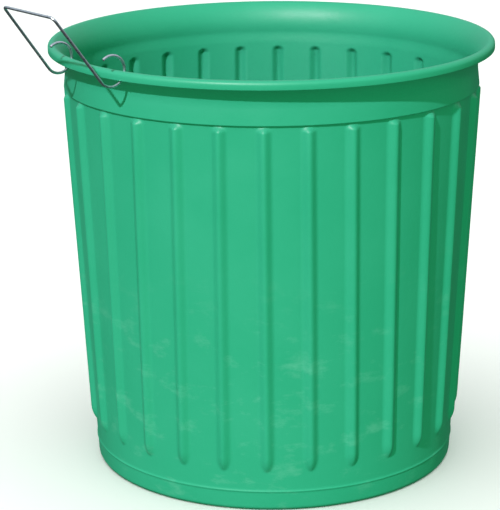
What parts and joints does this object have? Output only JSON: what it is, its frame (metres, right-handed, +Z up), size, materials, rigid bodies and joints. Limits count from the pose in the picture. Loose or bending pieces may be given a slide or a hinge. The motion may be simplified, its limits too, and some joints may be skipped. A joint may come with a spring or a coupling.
{
  "type": "litter bin",
  "caption": "Round open-top litter bin with a ribbed, slightly tapered side, a flared rim and a swinging wire handle hooked through the rim.",
  "frame": {"origin": "centre of the underside, on the barrel's axis, where the bin stands on the ground", "axes": "+Z up along the barrel's axis; the handle is hooked on the rim at -X and its grip runs along Y"},
  "size_m": [0.8706, 0.762, 0.8398],
  "materials": {
    "polyethylene": "satin",
    "galvanised_wire": "dull zinc"
  },
  "bodies": {
    "barrel": {"barrel": "polyethylene"},
    "handle": {"wire_handle": "galvanised_wire"}
  },
  "joints": [
    {"name": "handle_swing", "type": "hinge", "parent": "barrel", "child": "handle", "pos_m": [-0.38358, 0, 0.74147], "axis": [0, 1, 0], "range_deg": [-105, 120]}
  ]
}
